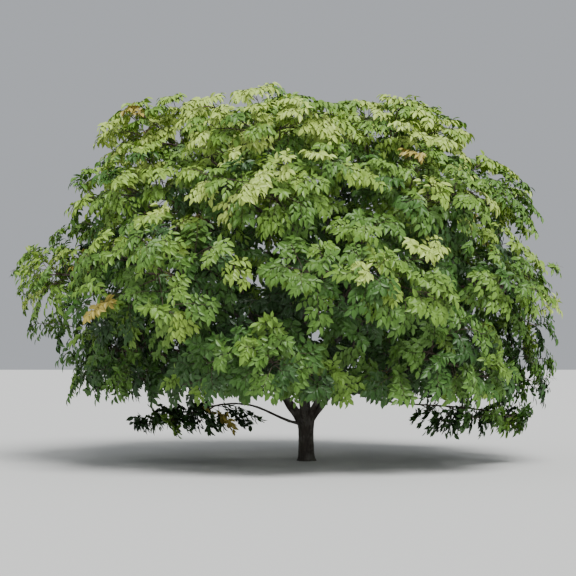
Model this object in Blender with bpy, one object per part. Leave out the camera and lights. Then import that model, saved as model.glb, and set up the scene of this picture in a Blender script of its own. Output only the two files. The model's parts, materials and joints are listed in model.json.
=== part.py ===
"""A young American hornbeam, grown in the open: a short fluted trunk, limbs that rise and spread
from a low fork, and a broad crown of leafy masses in four tiers.

Metres, +Z up. The origin is the middle of the trunk's foot, on level ground. +X is the right-hand
side of the tree and -Y is its front.
"""

import math
import random
from collections import namedtuple

import bmesh
import bpy
from mathutils import Matrix, Vector
from mathutils.bvhtree import BVHTree
from mathutils.geometry import interpolate_bezier

SEED = 31
UP = Vector((0, 0, 1))

# Clearance between pieces that meet, between foliage and other limbs, and round its own limb
GAP = 0.0003
LIMB_CLEARANCE = 0.010
OWN_LIMB_CLEARANCE = 0.002

# Trunk
TRUNK_RADIUS = 0.098
TRUNK_HEIGHT = 0.71
TRUNK_LEAN = Vector((-0.012, 0.0, 0.0))
TRUNK_SIDES = 14
# Height as a share of the trunk, and girth as a share of its radius
TRUNK_PROFILE = (
    (0.0, 1.30), (0.05, 1.13), (0.14, 1.04), (0.35, 0.98), (0.56, 1.01),
    (0.70, 1.14), (0.82, 1.20), (0.91, 1.05), (0.975, 0.66), (1.0, 0.30),
)
# Rounded ridges down the trunk: how many, how deep as a share of the girth, and their turn
FLUTES = ((3, 0.055, 0.6), (5, 0.035, 2.1))

# Crown, as tiers of lobes round the trunk. Each lobe is the space of one mass of foliage.
# Sizes are in metres and turns in degrees. A tier's lean is the share by which its ring is wider on
# the tree's left.
Tier = namedtuple("Tier", "name count turn height ring lean out side up shade")
TIERS = (
    Tier("skirt", 7, 0.0, 1.32, 2.12, -0.04, 1.20, 1.35, 0.90, "deep"),
    Tier("belt", 7, 26.0, 2.30, 2.42, 0.10, 1.22, 1.45, 0.95, "mid"),
    Tier("shoulder", 7, 0.0, 3.22, 1.95, 0.03, 1.20, 1.35, 0.95, "mid"),
    Tier("crest", 5, 36.0, 3.98, 1.48, 0.16, 1.10, 1.30, 0.80, "light"),
)
# Every tier is higher on the tree's left by this much, and lower on its right
LEFT_LIFT = 0.07
# Lobes vary in reach by this share, and in height by this much
LOBE_REACH_PLAY = 0.04
LOBE_HEIGHT_PLAY = 0.07
# One more lobe tops the leader, and two hang low. Their reach is outward, sideways and upward,
# but the top lobe's outward way is up.
TOP_LOBE = Vector((-0.20, 0.0, 4.20))
TOP_REACH = Vector((0.66, 0.85, 0.85))
LOW_LEFT_LOBE = Vector((-1.42, -0.25, 0.56))
LOW_LEFT_REACH = Vector((0.92, 0.66, 0.34))
LOW_RIGHT_LOBE = Vector((2.05, -0.35, 0.64))
LOW_RIGHT_REACH = Vector((0.85, 0.80, 0.30))
# The other lobes end at the underside, a little higher on the left, and the low ones hang under it
UNDERSIDE = 0.78
UNDERSIDE_TILT = -0.02
LOWEST = 0.32
# The crown as one rounded body, which sprays lie along
CROWN_CENTRE = Vector((-0.15, 0.0, 2.1))
CROWN_AXES = Vector((3.55, 3.4, 2.7))

# Limbs
MAIN_COUNT = 7
MAIN_RADIUS = 0.036
RIGHT_MAIN_RADIUS = 0.046
MAIN_TIP_RADIUS = 0.016
LEADER_RADIUS = 0.044
LATERAL_RADIUS = 0.022
LATERAL_TIP_RADIUS = 0.015
LIMB_SIDES = 8
LATERAL_SIDES = 6
LIMB_WANDER = 0.022
# The power of a limb's taper, which is quicker near its foot
TAPER = 0.8
# Heights on the trunk where the limbs leave it, lower and higher in turn
LEADER_FOOT = 0.60
RIGHT_MAIN_FOOT = 0.46
MAIN_FOOT = 0.40
MAIN_FOOT_STEP = 0.10
# Shares of a limb's length where its laterals leave it
CREST_JOINT = 0.52
CREST_JOINT_STEP = 0.07
BELT_JOINT = 0.50
SKIRT_JOINT = 0.22
SKIRT_JOINT_STEP = 0.03
RIGHT_SKIRT_JOINT = 0.19
# The two low limbs, thin and nearly level
LOW_LEFT_FOOT = 0.465
LOW_LEFT_TIP = Vector((-0.92, -0.12, 0.745))
LOW_LEFT_RADII = (0.021, 0.012)
LOW_RIGHT_JOINT = 0.12
LOW_RIGHT_TIP = Vector((1.36, -0.24, 0.74))
LOW_RIGHT_RADII = (0.017, 0.010)

# Twigs and sprays of leaves
STEM_SIDES = 4
STEM_TIP_RADIUS = 0.012
# A stem's first straight length, and the shares of its points between which twigs leave it
STEM_COLLAR = 0.03
FIRST_TWIG = 0.30
LAST_TWIG = 0.96
TWIG_SIDES = 3
TWIG_RADIUS = 0.009
TWIG_TIP_RADIUS = 0.006
TWIG_INSET = 0.30
TWIGS_PER_MASS = 7
SPRAYS_PER_MASS = 20
SPRAY_TRIES = 24
SPRAY_LENGTH = 0.82
TOP_SPRAY_LENGTH = 0.62
LOW_SPRAY_LENGTH = 0.46
# A spray's width as a share of its length
SPRAY_WIDTH = 0.70
SPRAY_THICKNESS = 0.018
SPRAY_ARCH = 0.07
SPRAY_LIFT = 0.5
PLACE_TRIES = 30
TIP_SPRAY_SIZES = (1.0, 0.8, 0.65, 0.5)
# A spray that finds no room is tried again shorter by this share, down to the smallest share
SPRAY_SHRINK = 0.86
SMALLEST_SPRAY = 0.4


def heading(azimuth, rise=0.0):
    """The unit vector at an azimuth from +X and a rise above the level, in degrees."""
    turn, lift = math.radians(azimuth), math.radians(rise)
    return Vector((math.cos(turn) * math.cos(lift), math.sin(turn) * math.cos(lift), math.sin(lift)))


def trunk_axis(height):
    """The middle of the trunk at a height."""
    return TRUNK_LEAN * (height / TRUNK_HEIGHT) ** 2 + UP * height


# Lobes

Lobe = namedtuple("Lobe", "name azimuth centre axes reach shade spray walls")


def make_lobe(name, azimuth, centre, reach, shade, tilt=0.0, spray=SPRAY_LENGTH):
    """A lobe whose reach is outward, sideways and upward, leaned out by a tilt in degrees."""
    outward = heading(azimuth, -tilt)
    sideways = heading(azimuth + 90)
    axes = (outward, sideways, outward.cross(sideways))
    return Lobe(name, azimuth, centre, axes, reach, shade, spray, [])


def tier_lobes(tier):
    """The lobes of one tier, evenly round the trunk with a little play."""
    draw = random.Random(f"{SEED} {tier.name}")
    for i in range(tier.count):
        azimuth = tier.turn + 360.0 * i / tier.count
        left = -math.cos(math.radians(azimuth))
        reach = (1 + tier.lean * left) * draw.uniform(1 - LOBE_REACH_PLAY, 1 + LOBE_REACH_PLAY)
        height = tier.height + LEFT_LIFT * left + draw.uniform(-1, 1) * LOBE_HEIGHT_PLAY
        centre = heading(azimuth) * (tier.ring * reach) + UP * height
        sizes = Vector((tier.out, tier.side, tier.up))
        yield make_lobe(f"{tier.name}_{i + 1}", azimuth, centre, sizes, tier.shade)


def crown_lobes():
    """Every lobe, with walls that part the tiers' lobes from each other and from the low ones."""
    high = [lobe for tier in TIERS for lobe in tier_lobes(tier)]
    high.append(make_lobe("top", 200, TOP_LOBE, TOP_REACH, "light", -90, TOP_SPRAY_LENGTH))
    low = [
        make_lobe("low_left", 184, LOW_LEFT_LOBE, LOW_LEFT_REACH, "deep", 10, LOW_SPRAY_LENGTH),
        make_lobe("low_right", 350, LOW_RIGHT_LOBE, LOW_RIGHT_REACH, "deep", 0, LOW_SPRAY_LENGTH),
    ]
    slope = Vector((-UNDERSIDE_TILT, 0, 1)).normalized()
    level = slope.dot(UP * UNDERSIDE)
    for lobe in high:
        lobe.walls.append((-slope, -level))
        for other in high:
            if other is not lobe:
                away = (other.centre - lobe.centre).normalized()
                lobe.walls.append((away, away.dot(other.centre + lobe.centre) / 2))
    for lobe in low:
        lobe.walls.append((slope, level))
        lobe.walls.append((-UP, -LOWEST))
    return high + low


def in_space(lobe, point, room=0.002):
    """Whether a point lies in the lobe's own space, with room to spare."""
    offset = point - lobe.centre
    share = Vector([offset.dot(axis) / (reach - room) for axis, reach in zip(lobe.axes, lobe.reach)])
    return share.length < 1 and all(away.dot(point) < wall - room for away, wall in lobe.walls)


def crown_normal(point):
    """The way that sprays face at a point: out of the crown, and raised to the light."""
    offset = point - CROWN_CENTRE
    out = Vector([away / reach**2 for away, reach in zip(offset, CROWN_AXES)]).normalized()
    return (out + UP * SPRAY_LIFT).normalized()


# Limbs

Limb = namedtuple("Limb", "name parent points radii sides")


def bend(start, start_heading, end, end_heading, slack, steps):
    """Points along a smooth bend between two places. slack is the handles' share of the span."""
    span = (end - start).length * slack
    handles = (start + start_heading * span, end - end_heading * span)
    return interpolate_bezier(start, *handles, end, steps + 1)


def make_limb(name, parent, points, radii, sides, wander=0.0):
    """A limb that tapers from its base radius to its tip radius, a little crooked between them."""
    draw = random.Random(f"{SEED} {name}")
    last = len(points) - 1
    crooked = [
        point + Vector([draw.uniform(-1, 1) for _ in range(3)]) * (wander if 1 < i < last - 1 else 0)
        for i, point in enumerate(points)
    ]
    base, tip = radii
    girths = [base + (tip - base) * (i / last) ** TAPER for i in range(last + 1)]
    return Limb(name, parent, crooked, girths, sides)


def along(limb, share):
    """The place and heading at a share of a limb's length."""
    place = share * (len(limb.points) - 1)
    i = min(int(place), len(limb.points) - 2)
    a, b = limb.points[i], limb.points[i + 1]
    return a.lerp(b, place - i), (b - a).normalized()


def lobe_mouth(lobe, inward, sink):
    """Where a limb enters a lobe, as shares of the lobe's reach inwards and down."""
    out, _, up = lobe.axes
    return lobe.centre - out * (lobe.reach[0] * inward) - up * (lobe.reach[2] * sink)


def grow_limbs(lobes):
    """The leader, the main limbs and their laterals: one limb for each lobe, by the lobe's name."""
    lobe_of = {lobe.name: lobe for lobe in lobes}
    limbs = {}

    def lateral(name, parent, share, lobe_name, pull, mouth, rise, radius=LATERAL_RADIUS, steps=4):
        lobe = lobe_of[lobe_name]
        start, forward = along(parent, share)
        first = (forward + heading(lobe.azimuth) * pull).normalized()
        points = bend(start, first, lobe_mouth(lobe, *mouth), heading(lobe.azimuth, rise), 0.33, steps)
        radii = (radius, LATERAL_TIP_RADIUS)
        limbs[lobe_name] = make_limb(name, parent.name, points, radii, LATERAL_SIDES)
        return limbs[lobe_name]

    def upright(name, height, first, lobe_name, mouth, rise, radius):
        lobe = lobe_of[lobe_name]
        end = lobe_mouth(lobe, *mouth)
        points = bend(trunk_axis(height), first, end, heading(lobe.azimuth, rise), 0.36, 7)
        radii = (radius, MAIN_TIP_RADIUS)
        limbs[lobe_name] = make_limb(name, "trunk", points, radii, LIMB_SIDES, LIMB_WANDER)
        return limbs[lobe_name]

    leader = upright("leader", LEADER_FOOT, heading(20, 84), "top", (0.80, 0.0), 84, LEADER_RADIUS)
    for i in range(1, 6):
        share = CREST_JOINT + CREST_JOINT_STEP * i
        lateral(f"leader_lateral_{i}", leader, share, f"crest_{i}", 1.2, (0.62, 0.40), 50)
    for i in range(1, MAIN_COUNT + 1):
        azimuth = lobe_of[f"shoulder_{i}"].azimuth
        height, radius = MAIN_FOOT + MAIN_FOOT_STEP * (i % 2), MAIN_RADIUS
        share = SKIRT_JOINT + SKIRT_JOINT_STEP * (i % 3)
        if i == 1:
            height, radius, share = RIGHT_MAIN_FOOT, RIGHT_MAIN_RADIUS, RIGHT_SKIRT_JOINT
        main = upright(
            f"main_{i}", height, heading(azimuth, 46), f"shoulder_{i}", (0.66, 0.40), 64, radius
        )
        lateral(f"belt_lateral_{i}", main, BELT_JOINT, f"belt_{i}", 1.3, (0.72, 0.30), 24)
        lateral(f"skirt_lateral_{i}", main, share, f"skirt_{i}", 1.7, (0.72, 0.20), 14)

    start = trunk_axis(LOW_LEFT_FOOT)
    points = bend(start, heading(184, 4), LOW_LEFT_TIP, heading(186, -4), 0.38, 5)
    limbs["low_left"] = make_limb("low_left_limb", "trunk", points, LOW_LEFT_RADII, LATERAL_SIDES)
    bearer = limbs["skirt_1"]
    start, _ = along(bearer, LOW_RIGHT_JOINT)
    points = bend(start, heading(344, 4), LOW_RIGHT_TIP, heading(352, 4), 0.36, 5)
    radii = LOW_RIGHT_RADII
    limbs["low_right"] = make_limb("low_right_limb", bearer.name, points, radii, LATERAL_SIDES)
    return limbs


# Foliage

Twig = namedtuple("Twig", "start end")
Spray = namedtuple("Spray", "root forward normal length")


def grow_stem(lobe, limb):
    """The stem of a mass, which grows on from its limb's tip out through the lobe."""
    out, _, up = lobe.axes
    entry = (limb.points[-1] - limb.points[-2]).normalized()
    end = lobe.centre + out * (lobe.reach[0] * 0.36) + up * (lobe.reach[2] * 0.05)
    foot = limb.points[-1] + entry * GAP
    points = [foot] + bend(foot + entry * STEM_COLLAR, entry, end, (out - up * 0.2).normalized(), 0.3, 3)
    radii = (limb.radii[-1] * 0.92, STEM_TIP_RADIUS)
    return make_limb(lobe.name + "_stem", limb.name, points, radii, STEM_SIDES)


def spread_places(draw, lobe, stem, count):
    """Places spread evenly through a lobe, each as far as can be from the stem and the others."""
    taken = list(stem.points)
    for _ in range(count):
        found = []
        while len(found) < PLACE_TRIES:
            share = [draw.uniform(-1, 1) for _ in range(3)]
            steps = [axis * (reach * part) for axis, reach, part in zip(lobe.axes, lobe.reach, share)]
            place = sum(steps, lobe.centre)
            if in_space(lobe, place, lobe.spray * TWIG_INSET):
                outside = (place - lobe.centre).dot(crown_normal(place)) / lobe.reach[0]
                bare = min((place - other).length for other in taken)
                found.append((bare * (1 + 0.3 * outside), place))
        taken.append(max(found, key=lambda item: item[0])[1])
    return taken[len(stem.points):]


def grow_twigs(lobe, stem, limb_trees):
    """Twigs that leave the stem at a slant, each for its own place in the lobe."""
    draw = random.Random(f"{SEED} {lobe.name} twigs")
    count = 2 * TWIGS_PER_MASS
    joints = [along(stem, FIRST_TWIG + (LAST_TWIG - FIRST_TWIG) * i / count) for i in range(count)]
    twigs, trees = [], []
    for place in spread_places(draw, lobe, stem, TWIGS_PER_MASS):
        joints.sort(key=lambda joint: slanting_way(joint, place))
        twig = Twig(joints.pop(0)[0], place)
        tree = BVHTree.FromBMesh(twig_form(twig))
        if not any(tree.overlap(other) for other in limb_trees + trees):
            twigs.append(twig)
            trees.append(tree)
    return twigs


def slanting_way(joint, place):
    """The way from a joint of the stem to a place, longer where it leaves the stem squarely."""
    origin, forward = joint
    way = place - origin
    return way.length + max(0.0, 0.5 - way.normalized().dot(forward))


def lay_spray(draw, lobe, root, forward, droop):
    """A spray that leaves its root forwards, droops, and lies along the crown's surface."""
    forward = (forward - UP * droop).normalized()
    normal = crown_normal(root) + Vector([draw.uniform(-0.3, 0.3) for _ in range(3)])
    normal = (normal - forward * normal.dot(forward)).normalized()
    return Spray(root, forward, normal, lobe.spray * draw.uniform(0.8, 1.15))


def side_spray(draw, lobe, twig):
    """A spray from somewhere along a twig, to either side of it."""
    direction = (twig.end - twig.start).normalized()
    root = twig.start.lerp(twig.end, draw.uniform(0.15, 0.95))
    across = direction.cross(crown_normal(root)).normalized() * draw.choice((-1, 1))
    forward = direction * draw.uniform(0.2, 0.9) + across * draw.uniform(0.6, 1.0)
    forward.z *= 0.4 if forward.z > 0 else 1.0
    return lay_spray(draw, lobe, root, forward.normalized(), draw.uniform(0.05, 0.7))


def spray_middle(spray):
    return spray.root + spray.forward * (spray.length / 2)


def grow_sprays(lobe, stem, twigs, limb_trees):
    """Sprays at the twigs' tips, then others where the mass is barest, nearest its outside first."""
    draw = random.Random(f"{SEED} {lobe.name} sprays")
    placed, trees = [], []
    stem_runs = [Twig(a, b) for a, b in zip(stem.points[2:], stem.points[3:])]
    stem_tree = tree_of(tube_mesh(stem.name, stem.points, stem.radii, stem.sides))
    twig_trees = [BVHTree.FromBMesh(twig_form(twig)) for twig in twigs]

    def fitting(spray, bearer):
        form = spray_form(spray)
        free = [corner.co for corner in form.verts if (corner.co - spray.root).length > TWIG_RADIUS]
        if not all(in_space(lobe, corner) for corner in free):
            return None
        tree = BVHTree.FromBMesh(form)
        others = [other for twig, other in zip(twigs, twig_trees) if twig is not bearer]
        others += [] if bearer in stem_runs else [stem_tree]
        if any(tree.overlap(other) for other in limb_trees + trees + others):
            return None
        return tree

    def keep(spray, tree):
        placed.append(spray)
        trees.append(tree)

    for twig in twigs + stem_runs[-1:]:
        forward = (twig.end - twig.start).normalized()
        for shrink in TIP_SPRAY_SIZES:
            root = twig.end - forward * TWIG_TIP_RADIUS
            spray = lay_spray(draw, lobe, root, forward, draw.uniform(0.0, 0.3))
            spray = spray._replace(length=spray.length * shrink)
            tree = fitting(spray, twig)
            if tree:
                keep(spray, tree)
                break
    bearers = twigs + stem_runs
    size = 1.0
    while len(placed) < SPRAYS_PER_MASS and size > SMALLEST_SPRAY:
        found = []
        for _ in range(SPRAY_TRIES):
            twig = draw.choice(bearers)
            spray = side_spray(draw, lobe, twig)
            spray = spray._replace(length=spray.length * size)
            tree = fitting(spray, twig)
            if tree:
                middle = spray_middle(spray)
                bare = min(((middle - spray_middle(other)).length for other in placed), default=1.0)
                outside = (middle - lobe.centre).dot(crown_normal(middle)) / lobe.reach[0]
                found.append((bare * (1 + 0.6 * outside), spray, tree))
        if not found:
            size *= SPRAY_SHRINK
            continue
        _, spray, tree = max(found, key=lambda item: item[0])
        keep(spray, tree)
    return placed


# Shapes

def paint(name, colour, roughness):
    """A plain Principled material."""
    material = bpy.data.materials.new(name)
    material.use_nodes = True
    shader = material.node_tree.nodes["Principled BSDF"]
    shader.inputs["Base Color"].default_value = (*colour, 1.0)
    shader.inputs["Roughness"].default_value = roughness
    shader.inputs["Metallic"].default_value = 0.0
    return material


def put(collection, name, mesh, material):
    """A new object in a collection, with its material."""
    thing = bpy.data.objects.new(name, mesh)
    collection.objects.link(thing)
    mesh.materials.append(material)
    return thing


def as_mesh(form, name):
    """A mesh from a bmesh, facing outwards."""
    if form.calc_volume(signed=True) < 0:
        bmesh.ops.reverse_faces(form, faces=form.faces)
    mesh = bpy.data.meshes.new(name)
    form.to_mesh(mesh)
    form.free()
    return mesh


def trunk_mesh(name, grow=0.0):
    """The fluted trunk, a loft of lobed rings. It is grown by an allowance where it is a cutter."""
    form = bmesh.new()
    rings = []
    for share, girth in TRUNK_PROFILE:
        middle = trunk_axis(TRUNK_HEIGHT * share) + UP * (grow if share == 1.0 else 0.0)
        ring = []
        for i in range(TRUNK_SIDES):
            turn = 2 * math.pi * i / TRUNK_SIDES
            flute = 1 + sum(deep * math.cos(count * turn + phase) for count, deep, phase in FLUTES)
            out = heading(math.degrees(turn)) * (TRUNK_RADIUS * girth * flute + grow)
            ring.append(form.verts.new(middle + out))
        rings.append(ring)
    for lower, upper in zip(rings, rings[1:]):
        for i in range(TRUNK_SIDES):
            form.faces.new((lower[i - 1], lower[i], upper[i], upper[i - 1]))
    form.faces.new(rings[0])
    form.faces.new(rings[-1])
    bmesh.ops.recalc_face_normals(form, faces=form.faces)
    return as_mesh(form, name)


def tube_mesh(name, points, radii, sides, grow=0.0):
    """A tapering tube with closed ends, from a bevelled curve."""
    curve = bpy.data.curves.new(name, "CURVE")
    curve.dimensions = "3D"
    curve.use_fill_caps = True
    curve.bevel_depth = 1.0
    curve.bevel_resolution = (sides - 4) // 2
    spline = curve.splines.new("POLY")
    spline.points.add(len(points) - 1)
    for place, radius, point in zip(points, radii, spline.points):
        point.co = (*place, 1)
        point.radius = radius + grow
    holder = bpy.data.objects.new(name, curve)
    bpy.context.scene.collection.objects.link(holder)
    graph = bpy.context.evaluated_depsgraph_get()
    form = bmesh.new()
    form.from_mesh(holder.evaluated_get(graph).to_mesh())
    bpy.data.objects.remove(holder)
    bpy.data.curves.remove(curve)
    bmesh.ops.remove_doubles(form, verts=form.verts, dist=1e-5)
    bmesh.ops.recalc_face_normals(form, faces=form.faces)
    return as_mesh(form, name)


def twig_form(twig):
    """A straight three-sided twig."""
    span = twig.end - twig.start
    turn = span.to_track_quat("Z", "Y").to_matrix().to_4x4()
    form = bmesh.new()
    bmesh.ops.create_cone(
        form, cap_ends=True, segments=TWIG_SIDES, radius1=TWIG_RADIUS, radius2=TWIG_TIP_RADIUS,
        depth=span.length, matrix=Matrix.Translation(twig.start.lerp(twig.end, 0.5)) @ turn,
    )
    return form


def spray_form(spray):
    """A spray of leaves as one arched blade with a ridge down its middle, from a six-faced ball."""
    form = bmesh.new()
    bmesh.ops.create_uvsphere(form, u_segments=3, v_segments=2, radius=1.0)
    across = spray.forward.cross(spray.normal)
    for corner in form.verts:
        ridge, side, length = corner.co
        middle = 1 - abs(length)
        side *= SPRAY_WIDTH * spray.length / math.sqrt(3)
        lift = middle * (SPRAY_ARCH + SPRAY_THICKNESS * (ridge + 0.5) / 1.5)
        length = spray.length * (0.5 + 0.5 * length - 0.04 * middle)
        corner.co = spray.root + spray.forward * length + across * side + spray.normal * lift
    return form


def keep_one_body(mesh):
    """Drops loose scraps and fills sealed hollows, so that the mesh is one closed body."""
    form = bmesh.new()
    form.from_mesh(mesh)
    bmesh.ops.triangulate(form, faces=form.faces)
    left = set(form.faces)
    bodies = []
    while left:
        start = left.pop()
        body, rim = [start], [start]
        while rim:
            for edge in rim.pop().edges:
                for face in edge.link_faces:
                    if face in left:
                        left.discard(face)
                        body.append(face)
                        rim.append(face)
        bodies.append(body)

    def volume(body):
        corners = [[corner.co for corner in face.verts] for face in body]
        return sum(a.dot(b.cross(c)) for a, b, c in corners) / 6

    bodies.sort(key=volume)
    extra = [face for body in bodies[:-1] for face in body]
    bmesh.ops.delete(form, geom=extra, context="FACES")
    form.to_mesh(mesh)
    form.free()
    return len(bodies) - 1


def fuse(name, meshes, target, material):
    """One closed body made of overlapping closed pieces."""
    work = bpy.data.collections.new(name + "_pieces")
    bpy.context.scene.collection.children.link(work)
    pieces = [put(work, mesh.name, mesh, material) for mesh in meshes[1:]]
    body = put(target, name, meshes[0], material)
    union = body.modifiers.new("Join", "BOOLEAN")
    union.operation = "UNION"
    union.operand_type = "COLLECTION"
    union.collection = work
    union.solver = "MANIFOLD"
    graph = bpy.context.evaluated_depsgraph_get()
    joined = bpy.data.meshes.new_from_object(body.evaluated_get(graph))
    body.modifiers.clear()
    body.data = joined
    for piece in pieces:
        mesh = piece.data
        bpy.data.objects.remove(piece)
        bpy.data.meshes.remove(mesh)
    bpy.data.collections.remove(work)
    dropped = keep_one_body(joined)
    print(f"{name}: {len(meshes)} pieces, {len(joined.polygons)} triangles, {dropped} dropped")


def seat(limb_object, cutter):
    """Cuts a limb's foot to the surface that it grows from."""
    cut = limb_object.modifiers.new("Seat", "BOOLEAN")
    cut.operation = "DIFFERENCE"
    cut.object = cutter
    cut.solver = "EXACT"


def tree_of(mesh):
    return BVHTree.FromPolygons([v.co for v in mesh.vertices], [p.vertices[:] for p in mesh.polygons])


def main():
    for thing in list(bpy.data.objects):
        bpy.data.objects.remove(thing)
    plant = bpy.data.collections.new("american_hornbeam")
    cutters = bpy.data.collections.new("cutters")
    for group in (plant, cutters):
        bpy.context.scene.collection.children.link(group)
    bark = paint("bark", (0.075, 0.066, 0.058), 0.9)
    leaves = {
        "deep": paint("leaves_deep", (0.055, 0.125, 0.030), 0.6),
        "mid": paint("leaves_mid", (0.110, 0.210, 0.045), 0.6),
        "light": paint("leaves_light", (0.240, 0.340, 0.080), 0.6),
    }

    lobes = crown_lobes()
    limbs = grow_limbs(lobes)
    cutter_of = {"trunk": put(cutters, "trunk_clearance", trunk_mesh("trunk_clearance", GAP), bark)}
    parents = {limb.parent for limb in limbs.values()}
    put(plant, "trunk", trunk_mesh("trunk"), bark)
    for limb in limbs.values():
        shape = (limb.points, limb.radii, limb.sides)
        thing = put(plant, limb.name, tube_mesh(limb.name, *shape), bark)
        if limb.name in parents:
            name = limb.name + "_clearance"
            cutter_of[limb.name] = put(cutters, name, tube_mesh(name, *shape, GAP), bark)
        seat(thing, cutter_of[limb.parent])
    for cutter in cutter_of.values():
        cutter.hide_render = True
        cutter.display_type = "WIRE"

    def limb_tree(limb, clearance):
        return tree_of(tube_mesh(limb.name, limb.points, limb.radii, limb.sides, clearance))

    limb_trees = {limb.name: limb_tree(limb, LIMB_CLEARANCE) for limb in limbs.values()}
    for lobe in lobes:
        limb = limbs[lobe.name]
        near = [tree for name, tree in limb_trees.items() if name != limb.name]
        near.append(limb_tree(limb, OWN_LIMB_CLEARANCE))
        stem = grow_stem(lobe, limb)
        twigs = grow_twigs(lobe, stem, near)
        sprays = grow_sprays(lobe, stem, twigs, near)
        meshes = [tube_mesh(stem.name, stem.points, stem.radii, stem.sides)]
        meshes += [as_mesh(twig_form(twig), "twig") for twig in twigs]
        meshes += [as_mesh(spray_form(spray), "spray") for spray in sprays]
        fuse(f"foliage_{lobe.name}", meshes, plant, leaves[lobe.shade])


main()
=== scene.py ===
# %% [markdown]
# # A young American hornbeam
# This lesson dresses a plain model of a young open-grown tree: a short sinewy trunk, limbs that
# fan out from a low fork, and a broad crown of drooping, layered sprays. The plain model says
# where the limbs and the masses of foliage are. Everything here grows on from it, by the same
# rule, down to the single leaf.
# Metres, +Z up. The origin is the middle of the trunk's foot.

# %% Load the frame
import json
import math
import random
from collections import namedtuple

import bmesh
import bpy
import numpy as np
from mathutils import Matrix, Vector, noise
from mathutils.geometry import interpolate_bezier

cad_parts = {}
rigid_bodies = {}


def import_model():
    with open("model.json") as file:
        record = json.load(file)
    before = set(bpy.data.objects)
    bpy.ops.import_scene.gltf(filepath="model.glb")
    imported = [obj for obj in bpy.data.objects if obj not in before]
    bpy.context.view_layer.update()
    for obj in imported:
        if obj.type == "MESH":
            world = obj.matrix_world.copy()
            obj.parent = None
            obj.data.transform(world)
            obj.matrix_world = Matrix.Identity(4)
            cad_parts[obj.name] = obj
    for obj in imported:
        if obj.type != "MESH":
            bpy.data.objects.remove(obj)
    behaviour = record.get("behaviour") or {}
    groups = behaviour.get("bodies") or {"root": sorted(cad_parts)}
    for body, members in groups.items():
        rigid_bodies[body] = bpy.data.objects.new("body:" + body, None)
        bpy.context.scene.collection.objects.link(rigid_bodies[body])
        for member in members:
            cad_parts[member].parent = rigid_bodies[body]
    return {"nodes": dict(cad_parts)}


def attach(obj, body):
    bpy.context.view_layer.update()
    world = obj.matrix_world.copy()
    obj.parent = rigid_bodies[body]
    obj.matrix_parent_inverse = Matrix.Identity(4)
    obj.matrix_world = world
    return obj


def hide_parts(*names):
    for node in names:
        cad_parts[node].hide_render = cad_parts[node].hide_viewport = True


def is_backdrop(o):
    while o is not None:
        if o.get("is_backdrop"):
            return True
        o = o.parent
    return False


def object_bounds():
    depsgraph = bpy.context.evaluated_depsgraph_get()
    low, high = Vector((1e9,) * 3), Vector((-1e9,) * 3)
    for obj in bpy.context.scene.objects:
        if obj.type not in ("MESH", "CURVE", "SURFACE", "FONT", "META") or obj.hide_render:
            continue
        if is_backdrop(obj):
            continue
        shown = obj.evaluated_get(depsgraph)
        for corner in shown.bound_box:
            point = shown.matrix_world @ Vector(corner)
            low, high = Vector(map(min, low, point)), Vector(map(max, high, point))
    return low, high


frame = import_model()
cad_low, cad_high = [list(corner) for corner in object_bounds()]
print("The plain model reaches from", np.round(cad_low, 2), "to", np.round(cad_high, 2))

# %% [markdown]
# The trunk's line and girth come first, because the limbs start from them. This trunk is short
# and fluted, like a flexed arm, and leans a little. A profile gives its girth from foot to fork,
# and each flute is a wave round it. The sizes of the trunk, lobes, limbs and stems are the plain
# model's own, so that all of them fall in the same places.

# %% Trunk line
SEED = 31
UP = Vector((0, 0, 1))
TRUNK_RADIUS = 0.098
TRUNK_HEIGHT = 0.71
TRUNK_LEAN = Vector((-0.012, 0.0, 0.0))
# Share of the height, share of the radius
TRUNK_PROFILE = (
    (0.0, 1.30), (0.05, 1.13), (0.14, 1.04), (0.35, 0.98), (0.56, 1.01),
    (0.70, 1.14), (0.82, 1.20), (0.91, 1.05), (0.975, 0.66), (1.0, 0.30),
)
# Flutes round the trunk, depth as a share of the radius, turn in radians
FLUTES = ((3, 0.055, 0.6), (5, 0.035, 2.1))


def trunk_axis(height):
    """The middle of the trunk at a height."""
    return TRUNK_LEAN * (height / TRUNK_HEIGHT) ** 2 + UP * height


print("Trunk", 2 * TRUNK_RADIUS, "m thick and", TRUNK_HEIGHT, "m high to the top of its fork")

# %% [markdown]
# A hornbeam in the open carries its leaves in rounded lobes, tier over tier, one at the end of
# each limb. Each lobe here is an ellipsoid, cut off where it meets the next by a wall halfway
# between them, so that the lobes fill the crown and never mix. The plain model has the same
# lobes by the same seeded rule, so what grows in them falls in the same places.

# %% Lobes
Tier = namedtuple("Tier", "name count turn height ring lean out side up")
TIERS = (
    Tier("skirt", 7, 0.0, 1.32, 2.12, -0.04, 1.20, 1.35, 0.90),
    Tier("belt", 7, 26.0, 2.30, 2.42, 0.10, 1.22, 1.45, 0.95),
    Tier("shoulder", 7, 0.0, 3.22, 1.95, 0.03, 1.20, 1.35, 0.95),
    Tier("crest", 5, 36.0, 3.98, 1.48, 0.16, 1.10, 1.30, 0.80),
)
LEFT_LIFT = 0.07
LOBE_REACH_PLAY = 0.04
LOBE_HEIGHT_PLAY = 0.07
# The length of the plain model's sprays, which its twigs leave room for
SPRAY_LENGTH = 0.82
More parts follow.
